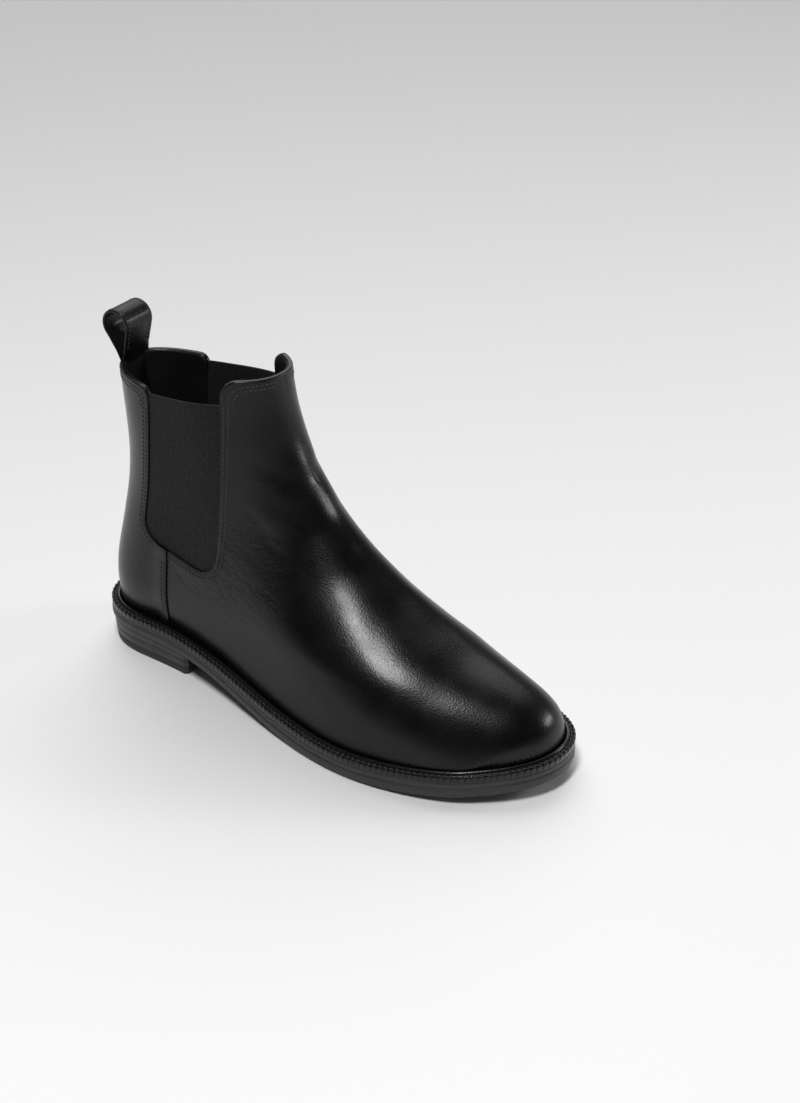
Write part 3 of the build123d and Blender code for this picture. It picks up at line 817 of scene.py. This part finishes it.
RIM_ACROSS, RIM_OUT, RIM_TAPER, RIM_TIP = 1.05, 1.7, 8.0, 0.35
RIM_INSET, RIM_DEPTH, RIM_PITCH = 0.9, 1.3, 1.2
RIM_SIDES = 12
END_GAP = 0.05               # keeps a topline's ends just off the seams
REAR_BEND, FRONT_BEND = REAR_CORNER - 1, FRONT_CORNER - 1
rear_reach = float(elastic_rear(REAR_TOP)) - RIM_INSET
rear_start = float(np.interp(REAR_TOP, back_line[:, 1], back_line[:, 0])) + END_GAP
front_begin = float(elastic_front(REAR_TOP)) + RIM_INSET
front_end = float(np.interp(FRONT_TOP, ridge_line[:, 1], ridge_line[:, 0])) - END_GAP
rear_places = rim_places(rear_reach, rear_start, REAR_TOP, REAR_BEND, RIM_INSET)
front_places = rim_places(front_begin, front_end, FRONT_TOP, FRONT_BEND, RIM_INSET)
rim_turns = np.linspace(0, 2 * math.pi, RIM_SIDES, endpoint=False)
rim_section = np.column_stack([RIM_ACROSS * np.cos(rim_turns), RIM_OUT * np.sin(rim_turns)])
for name, places, node in (("rear_topline_roll", rear_places, "rear_topline_binding"),
                           ("front_topline_roll", front_places, None)):
    lateral = surface_path(places, -1, RIM_DEPTH)
    medial = surface_path(places[:-1][::-1], 1, RIM_DEPTH)
    rim = resample(np.concatenate([lateral, medial]), RIM_PITCH)
    along = np.arange(len(rim)) * RIM_PITCH
    ease = np.clip(np.minimum(along, along[::-1]) / RIM_TAPER, 0, 1)
    fullness = RIM_TIP + (1 - RIM_TIP) * ease
    vertices, faces = tube(rim[:, :3], rim[:, 3:], rim_section[None] * fullness[:, None, None])
    roll = new_object(name, vertices * MM, faces, CALF)
    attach(roll, "boot")
    if node:
        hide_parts(node)

# ---- stitching of the upper ----
GUSSET_ROWS = (2.0, 4.4)     # distances of the stitched rows from the edges that they follow
TOPLINE_ROWS = (3.2, 5.4)
SEAM_ROWS = (1.6, 3.8)
GUSSET_ROWS_STOP = (REAR_TOP - 11, FRONT_TOP - 14)
SEAM_ROWS_SPAN = (30, 70)
THREAD_LIFT = 0.05           # how far a thread's middle stands off the leather
gusset_rows, edge_rows, seam_rows = [], [], []
for side in (-1, 1):
    for outside in GUSSET_ROWS:
        places = around_opening(outside, *GUSSET_ROWS_STOP)
        gusset_rows.append(surface_path(places, side, -THREAD_LIFT))
    for drop in TOPLINE_ROWS:
        places = rim_places(rear_reach - drop, rear_start, REAR_TOP, REAR_BEND, drop)[2:]
        edge_rows.append(surface_path(places, side, -THREAD_LIFT))
        places = rim_places(front_begin + drop, front_end, FRONT_TOP, FRONT_BEND, drop)[2:]
        edge_rows.append(surface_path(places, side, -THREAD_LIFT))
    for inset in SEAM_ROWS:
        places = [(float(seam_line(z)) - inset, z) for z in np.linspace(*SEAM_ROWS_SPAN, 24)]
        seam_rows.append(surface_path(places, side, -QUARTER_LIFT))
for name, rows in (("gusset_stitching", gusset_rows), ("topline_stitching", edge_rows),
                   ("quarter_seam_stitching", seam_rows)):
    stitches = stitching(name, rows)
    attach(stitches, "boot")


# ---- the sole ----
RING = 1800                  # points round the sole


def even_ring(ring, count):
    """Points at an even pitch round a closed ring, and their distances along it."""
    closed = np.vstack([ring, ring[:1]])
    along = distances(closed)
    at = np.linspace(0, along[-1], count + 1)[:-1]
    return read_path(closed, along, at), at


def sole_ring():
    """Points round the upper's lower edge with their outward directions and distances along."""
    ring = GRID_POINTS[1, :, :2] - (BACK_X, HEEL_Y)
    for _ in range(6):
        ring = eased(ring)
    ring, at = even_ring(ring, RING)
    for _ in range(30):
        ring = eased(ring)
    tangent = unit(np.roll(ring, -6, 0) - np.roll(ring, 6, 0))
    return ring, np.column_stack([tangent[:, 1], -tangent[:, 0]]), at


ring_xy, ring_out, ring_at = sole_ring()
perimeter = ring_at[-1] + ring_at[1]


def ring_row(offset, height):
    """Row of points round the sole at an offset outward and a height, in millimetres."""
    place = ring_xy + ring_out * np.reshape(offset, (-1, 1))
    return np.column_stack([BACK_X + place[:, 0], HEEL_Y + place[:, 1], height])


def ring_mesh(rows, closed_profile):
    """Vertices and faces of rows of points joined into a band, or into a closed ring."""
    count = len(rows[0])
    faces = []
    for j in range(len(rows) if closed_profile else len(rows) - 1):
        k = (j + 1) % len(rows)
        for i in range(count):
            n = (i + 1) % count
            faces.append((k * count + i, k * count + n, j * count + n, j * count + i))
    return np.concatenate(rows), faces


def cap(first, count, flip):
    """Faces across a row of points that is symmetric from its first point to its middle."""
    faces = []
    for i in range(count // 2):
        a, b = first + i, first + i + 1
        c, d = first + (count - i - 1) % count, first + (count - i) % count
        face = (a, b, c, d) if i else (a, b, c)
        if i == count // 2 - 1:
            face = (a, b, d)
        faces.append(face[::-1] if flip else face)
    return faces


ring_s = ring_xy[:, 0]
WELT_TOP = feather(ring_s)
SOLE_LOW = sole_bottom(ring_s)
SOLE_MID = SOLE_LOW + outsole_thick(ring_s)
WELT_LOW = WELT_TOP - WELT

NOTCH_PITCH, NOTCH_SHARPNESS = 3.3, 5
NOTCH_IN, NOTCH_DOWN = 0.45, 1.25
notch_count = round(perimeter / NOTCH_PITCH)
notch = np.abs(np.cos(math.pi * notch_count * ring_at / perimeter)) ** NOTCH_SHARPNESS
# offset outward, rise over the welt's top and share of the notches, from the inside round
welt_profile = [(-0.9, -2.9, 0), (-0.9, 0.0, 0), (0.1, 0.05, 0), (0.45, 0.6, 0), (0.75, 1.25, 0),
                (1.2, 1.75, 0), (1.8, 1.95, 0), (2.4, 1.75, 0), (2.8, 1.25, 0), (3.0, 0.6, 0),
                (3.15, 0.12, 0), (3.6, 0.0, 0), (4.3, 0.02, 0), (4.55, 0.35, 0.6), (4.85, 0.95, 1),
                (5.3, 1.25, 1), (5.75, 1.0, 1), (6.05, 0.4, 1), (6.1, -0.3, 0.9), (5.98, -0.9, 0.45),
                (5.9, -1.3, 0.1), (5.95, -2.8, 0), (5.8, -2.95, 0)]
rows = []
for offset, rise, bite in welt_profile:
    rows.append(ring_row(offset - NOTCH_IN * bite * notch, WELT_TOP + rise - NOTCH_DOWN * bite * notch))
vertices, faces = ring_mesh(rows, True)
welt = new_object("storm_welt", vertices * MM, faces, WELT_LEATHER)
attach(welt, "boot")
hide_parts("welt")

STITCH_OFFSET, STITCH_RISE = 3.75, 0.15
stitch_ring = ring_row(STITCH_OFFSET, WELT_TOP + STITCH_RISE)
stitch_path = np.column_stack([stitch_ring, np.zeros((RING, 2)), np.ones(RING)])
welt_stitches = stitching("welt_stitching", [np.vstack([stitch_path, stitch_path[:1]])],
                          pitch=perimeter / notch_count, radius=0.5, share=0.78)
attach(welt_stitches, "boot")


def capped_piece(name, rows, made):
    """Closed piece from rows of points round it, from its underside to its top."""
    vertices, faces = ring_mesh(rows, False)
    count = len(rows[0])
    faces += cap(0, count, False)
    faces += cap((len(rows) - 1) * count, count, True)
    return new_object(name, vertices * MM, faces, made)


# offset outward, share of the layer's height and rise, from the underside round to the top
MIDSOLE_EDGE = [(5.1, 0, 0.02), (5.8, 0, 0.04), (5.95, 0, 0.16), (5.95, 1, -0.16), (5.8, 1, -0.04),
                (5.1, 1, -0.02)]
OUTSOLE_EDGE = [(4.6, 0, 0.0), (5.3, 0, 0.05), (5.75, 0, 0.35), (5.95, 0, 0.9), (5.9, 0, 1.15),
                (6.05, 0, 1.4), (6.08, 0.6, 0), (6.04, 1, -0.2), (5.85, 1, -0.04), (5.4, 1, -0.02)]
for name, profile, low, high, node in (("midsole_layer", MIDSOLE_EDGE, SOLE_MID, WELT_LOW, "midsole"),
                                       ("outsole_layer", OUTSOLE_EDGE, SOLE_LOW, SOLE_MID, "outsole")):
    rows = [ring_row(offset, low + (high - low) * share + rise) for offset, share, rise in profile]
    slab = capped_piece(name, rows, SOLE_EDGE)
    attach(slab, "boot")
    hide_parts(node)


# ---- the heel ----
HEEL_RING = 600              # points round the heel
BREAST_POINTS, BREAST_CORNER, BREAST_RAKE = 40, 2.0, 1.2
HEEL_INSET, HEEL_TAPER = 0.8, 1.6
EASE_SHARE = 0.6             # how much of an eased edge the breast takes
SOLE_CLEAR = 0.02


def heel_outline(inset, breast):
    """Closed outline of the heel block: the sole's outline up to a straight breast."""
    place = ring_xy + ring_out * (WELT_MARGIN - inset)
    lateral, medial = place[:RING // 2], place[RING // 2:]
    start = lateral[lateral[:, 0] < breast][-1, 1] + BREAST_CORNER
    end = medial[medial[:, 0] < breast][0, 1] - BREAST_CORNER
    line = np.column_stack([np.full(BREAST_POINTS, breast), np.linspace(start, end, BREAST_POINTS)])
    ring = np.vstack([lateral[lateral[:, 0] < breast - BREAST_CORNER], line,
                      medial[medial[:, 0] < breast - BREAST_CORNER]])
    return even_ring(ring, HEEL_RING)[0]


def heel_layer(name, low, high, made, node, follow_sole=False):
    """A lift with eased edges; the top one follows the sole's underside."""
    rows = []
    for share, ease, rise in ((0, 0.5, 0.0), (0, 0.12, 0.03), (0, 0.0, 0.14), (1, 0.0, -0.14),
                              (1, 0.12, -0.03), (1, 0.5, 0.0)):
        height = low + (high - low) * share
        down = 1 - height / HEEL_TOP
        outline = heel_outline(HEEL_INSET + HEEL_TAPER * down + ease,
                               HEEL_BREAST - BREAST_RAKE * down - ease * EASE_SHARE)
        top = np.full(len(outline), height + rise)
        if follow_sole and share == 1:
            top = sole_bottom(outline[:, 0]) - SOLE_CLEAR + rise
        rows.append(np.column_stack([BACK_X + outline[:, 0], HEEL_Y + outline[:, 1], top]))
    piece = capped_piece(name, rows, made)
    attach(piece, "boot")
    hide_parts(node)


heel_layer("heel_top_lift", 0.0, TOP_PIECE, TREAD, "heel_top_piece")
heel_layer("heel_lower_lift", TOP_PIECE, TOP_PIECE + LIFT, HEEL_EDGE, "heel_lift_lower")
heel_layer("heel_upper_lift", TOP_PIECE + LIFT, HEEL_TOP, HEEL_EDGE, "heel_lift_upper", True)

# ---- the pull loop ----
joint = frame["record"]["behaviour"]["joints"][0]
root = np.array(joint["pos_m"]) / MM
LEAN = math.radians(14)
LOOP_UP, LOOP_RADIUS = 17.6, 8.4
LOOP_TURN = (-34, 214)       # the round part of the loop, in degrees
TAIL_DROPS = (36, 28, 20, 12, 7, 4)      # places down the sewn tail, below the hinge
STRAP_THICK = 1.8
TAIL_PLY = 0.84
TAIL_SUNK = 4.18             # middle of the sewn tail, in from the upper's face


def loop_path():
    """Side-view line of the strap, and its half thickness: up the tail, round and down."""
    up = np.array([-math.sin(LEAN), math.cos(LEAN)])
    ahead = np.array([math.cos(LEAN), math.sin(LEAN)])
    plies = []
    for drop in TAIL_DROPS:
        height = root[2] - drop
        back = float(np.interp(min(height, REAR_TOP), back_line[:, 1], back_line[:, 0]))
        plies.append((BACK_X + back + TAIL_SUNK, height))
    line = [(x + TAIL_PLY / 2, z, TAIL_PLY / 2) for x, z in plies]
    for angle in np.linspace(*LOOP_TURN, 15):
        turn = math.radians(angle)
        place = root[[0, 2]] + up * (LOOP_UP + LOOP_RADIUS * math.sin(turn))
        place = place + ahead * LOOP_RADIUS * math.cos(turn)
        line.append((*place, STRAP_THICK / 2))
    line += [(x - TAIL_PLY / 2, z, TAIL_PLY / 2) for x, z in plies[::-1]]
    return np.array(line)


def smooth_path(points, rounds=4):
    """Corner-cutting subdivision of an open line."""
    for _ in range(rounds):
        cut = [points[0]]
        for a, b in zip(points, points[1:]):
            cut += [0.75 * a + 0.25 * b, 0.25 * a + 0.75 * b]
        cut.append(points[-1])
        points = np.array(cut)
    return points


STRAP_PITCH = 0.8
strap_line = resample(smooth_path(loop_path()), STRAP_PITCH)
flat = np.column_stack([strap_line[:, 0], np.full(len(strap_line), HEEL_Y), strap_line[:, 1]])
run = unit(np.gradient(flat, axis=0))
strap_normal = np.column_stack([run[:, 2], 0 * run[:, 0], -run[:, 0]])
half, thick = STRAP_WIDTH / 2, STRAP_THICK / 2
thinning = strap_line[:, 2] / thick
# half of the strap's section (across, out), with eased edges; the other half is its opposite
edge = [(-half, 0), (-half + 0.15, 0.55 * thick), (-half + 0.6, 0.95 * thick), (-half + 1.4, thick)]
edge += [(-half + STRAP_WIDTH * t, thick) for t in (0.2, 0.35, 0.5, 0.65, 0.8)]
edge += [(half - 1.4, thick), (half - 0.6, 0.95 * thick), (half - 0.15, 0.55 * thick)]
edge += [(-a, -b) for a, b in edge]
profiles = np.broadcast_to(np.array(edge), (len(flat), len(edge), 2)).copy()
profiles[..., 1] *= thinning[:, None]
PINCH_HEIGHT, PINCH_REACH, PINCH = 3.0, 6.0, 0.03    # the strap is gathered just over its root
height_above = flat[:, 2] - root[2]
pinch = np.exp(-((height_above - PINCH_HEIGHT) / PINCH_REACH) ** 2)
waves = np.sin(profiles[..., 0] * 0.8 + 1.3) * 0.32 + np.sin(profiles[..., 0] * 1.7) * 0.14
profiles[..., 1] += waves * (pinch * (0.6 + 0.4 * np.sin(height_above * 0.9)))[:, None]
profiles[..., 0] *= (1 - PINCH * pinch)[:, None]
vertices, faces = tube(flat, strap_normal, profiles)
strap = new_object("pull_strap", vertices * MM, faces, STRAP)

THREAD_INSET, THREAD_START = 2.2, 3.5
strap_rows = []
for offset in (THREAD_INSET - half, half - THREAD_INSET):
    strap_row = np.column_stack([flat, strap_normal])[height_above > THREAD_START]
    strap_row[:, 1] += offset
    strap_row[:, :3] += strap_row[:, 3:] * thick
    strap_rows.append(strap_row)
strap_threads = stitching("pull_strap_stitching", strap_rows, pitch=2.6, radius=0.27)

for piece in (strap, strap_threads):
    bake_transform(piece)
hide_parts("pull_loop", "pull_loop_tail")

# ---- inner pieces keep their CAD shapes ----
for node, made in (("insole", BOARD), ("sock_liner", SOCK), ("insole_rib", CANVAS), ("cork_filler", CORK),
                   ("shank", STEEL), ("heel_nails", BRASS)):
    slots = frame["nodes"][node].data.materials
    slots.clear()
    slots.append(made)

# ---- floor, light and camera ----
FLOOR_HALF = 20.0
floor_paint = material("floor", (0.9, 0.9, 0.9), 0.75)[0]
floor = new_object("floor", [(-FLOOR_HALF, -FLOOR_HALF, 0), (FLOOR_HALF, -FLOOR_HALF, 0),
                             (FLOOR_HALF, FLOOR_HALF, 0), (-FLOOR_HALF, FLOOR_HALF, 0)],
                   [(0, 1, 2, 3)], floor_paint, False)

world = bpy.data.worlds.new("studio")
bpy.context.scene.world = world
world.use_nodes = True
sky = world.node_tree
sky.nodes["Background"].inputs["Color"].default_value = (1, 1, 1, 1)
way = add_node(sky, "TexCoord")
parts = add_node(sky, "SeparateXYZ")
sky.links.new(way.outputs["Generated"], parts.inputs[0])
HORIZON, ZENITH, HAZE_TOP = 0.5, 0.04, 0.3     # strengths, and where the haze of the horizon ends
glow = spread(sky, parts.outputs["Z"], HORIZON, ZENITH, 0.0, HAZE_TOP)
sky.links.new(glow, sky.nodes["Background"].inputs["Strength"])


def add_light(name, kind, power, direction, place=(0, 0, 0)):
    """Light that shines along a direction."""
    data = bpy.data.lights.new(name, kind)
    data.energy = power
    lamp = bpy.data.objects.new(name, data)
    bpy.context.collection.objects.link(lamp)
    lamp.location = place
    lamp.rotation_euler = Vector(direction).to_track_quat("-Z", "Y").to_euler()
    return data


for name, place, aim, size, power in (
        ("overhead", (0.22, -0.66, 1.65), (0.06, 0, 0.05), (0.3, 0.56), 18),
        ("side_box", (1.15, 1.15, 0.62), (0.05, 0, 0.08), (0.5, 0.28), 6)):
    box = add_light(name, "AREA", power, Vector(aim) - Vector(place), place)
    box.shape = "RECTANGLE"
    box.size, box.size_y = size
add_light("daylight", "SUN", 1.55, (0.45, -0.6, -0.85)).angle = math.radians(60)
bpy.context.scene.view_settings.view_transform = "Standard"

AZIMUTH, ELEVATION, ROLL = math.radians(33.43), math.radians(30.24), math.radians(1.0)
DISTANCE = 1.2133
TARGET = Vector((-0.002, 0.0778, 0.060))
SENSOR, LENS = 36.0, 68.04097914777878
back_way = Vector((math.sin(AZIMUTH) * math.cos(ELEVATION), -math.cos(AZIMUTH) * math.cos(ELEVATION),
                   math.sin(ELEVATION)))
right = back_way.cross(Vector((0, 0, -1))).normalized()
up = back_way.cross(right)
turned_right = right * math.cos(ROLL) + up * math.sin(ROLL)
turned_up = up * math.cos(ROLL) - right * math.sin(ROLL)
camera_data = bpy.data.cameras.new("camera")
camera_data.sensor_width = SENSOR
camera_data.lens = LENS
camera = bpy.data.objects.new("camera", camera_data)
bpy.context.collection.objects.link(camera)
camera.matrix_world = Matrix.Translation(TARGET + back_way * DISTANCE) @ Matrix(
    (turned_right, turned_up, back_way)).transposed().to_4x4()
bpy.context.scene.camera = camera
